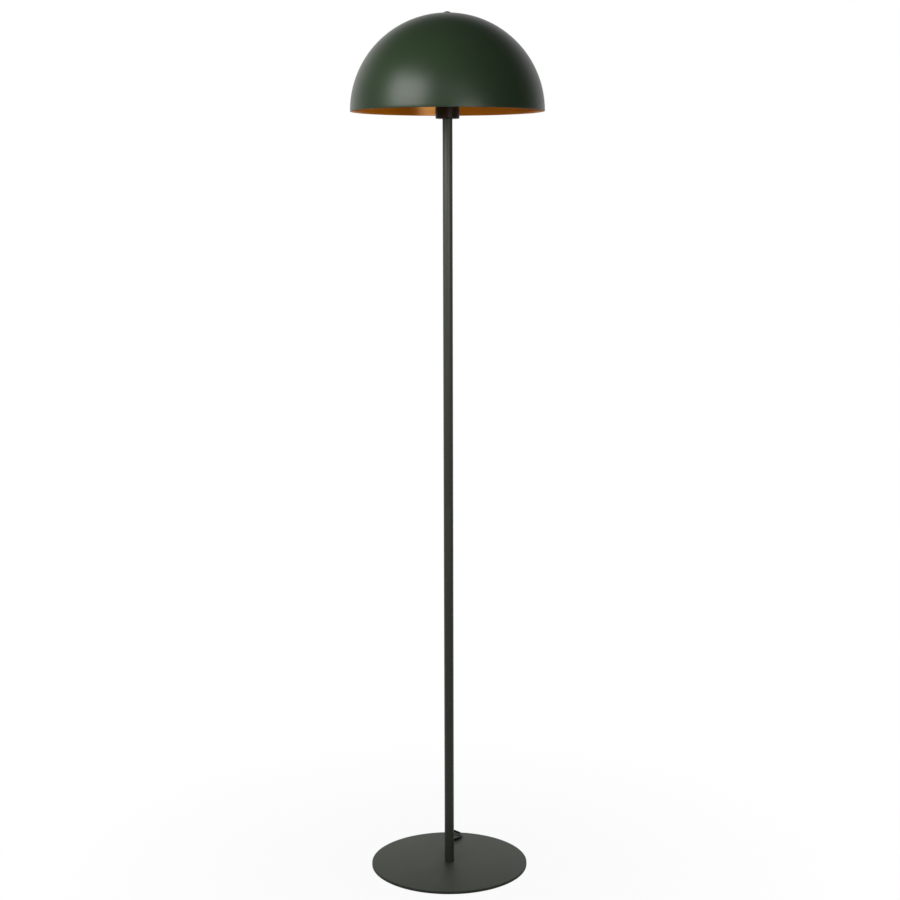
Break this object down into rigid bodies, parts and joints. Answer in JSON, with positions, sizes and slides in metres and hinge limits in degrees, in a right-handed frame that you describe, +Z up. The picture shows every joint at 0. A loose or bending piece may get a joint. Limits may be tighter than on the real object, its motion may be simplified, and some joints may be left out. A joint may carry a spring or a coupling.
{
  "type": "floor lamp",
  "caption": "Floor lamp with a half-round metal shade on a straight pole and a flat round base, with a rocker switch in its cord.",
  "frame": {"origin": "middle of the base, on the floor", "axes": "+Z up along the pole, -Y the front, towards the viewer; the cord leaves along +Y"},
  "size_m": [0.3499, 0.6431, 1.6027],
  "materials": {
    "pad_foam": "closed-cell foam",
    "base_paint": "fine matt powder coat on steel plate",
    "pole_paint": "satin paint on steel tube",
    "shade_paint": "matt dark green paint outside, gold paint inside",
    "plain_steel": "zinc plated",
    "frame_paint": "satin black paint on steel",
    "holder_plastic": "moulded black thermoset",
    "insert_white": "white moulded insulator",
    "contact_brass": "plain stamped brass",
    "bulb_black": "black glass insulator",
    "bulb_metal": "plain rolled aluminium",
    "bulb_opal": "opal white glass",
    "cord_black": "black sheath",
    "wire_brown": "brown core",
    "wire_blue": "blue core",
    "switch_black": "fine spark-eroded grain",
    "rocker_black": "smooth",
    "tie_white": "white plastic strap",
    "pin_nickel": "nickel plated"
  },
  "bodies": {
    "lamp": {"base_pad": "pad_foam", "base_plate": "base_paint", "lower_pole": "pole_paint", "upper_pole": "pole_paint", "base_screw": "plain_steel", "pole_foot_plug": "plain_steel", "lower_joint_insert": "plain_steel", "joint_nipple": "plain_steel", "upper_joint_insert": "plain_steel", "pole_top_plug": "plain_steel", "holder_nipple": "plain_steel", "lower_washer": "plain_steel", "upper_washer": "plain_steel", "shade_screw": "plain_steel", "switch_screws": "plain_steel", "shade_frame": "frame_paint", "holder_cap": "holder_plastic", "holder_skirt": "holder_plastic", "lower_shade_ring": "holder_plastic", "upper_shade_ring": "holder_plastic", "holder_insert": "insert_white", "holder_terminals": "contact_brass", "centre_contact": "contact_brass", "screw_shell": "contact_brass", "switch_contacts": "contact_brass", "inner_cord": "cord_black", "cord_to_switch": "cord_black", "cord_hank": "cord_black", "cord_relief": "cord_black", "live_wire": "wire_brown", "neutral_wire": "wire_blue", "switch_lower_shell": "switch_black", "switch_upper_shell": "switch_black", "plug_body": "switch_black", "cord_tie": "tie_white", "plug_pins": "pin_nickel"},
    "shade_dome": {"shade": "shade_paint"},
    "bulb": {"bulb_contact": "plain_steel", "bulb_insulator": "bulb_black", "bulb_cap": "bulb_metal", "bulb_globe": "bulb_opal"},
    "rocker": {"switch_rocker": "rocker_black"}
  },
  "joints": [
    {"name": "rocker_tilt", "type": "hinge", "parent": "lamp", "child": "rocker", "pos_m": [0, 0.251, 0.009], "axis": [1, 0, 0], "range_deg": [-16, 0]},
    {"name": "shade_turn", "type": "hinge", "parent": "lamp", "child": "shade_dome", "pos_m": [0, 0, 1.6], "axis": [0, 0, 1], "continuous": true},
    {"name": "bulb_turn", "type": "hinge", "parent": "lamp", "child": "bulb", "pos_m": [0, 0, 1.466], "axis": [0, 0, 1], "range_deg": [0, 360]}
  ]
}
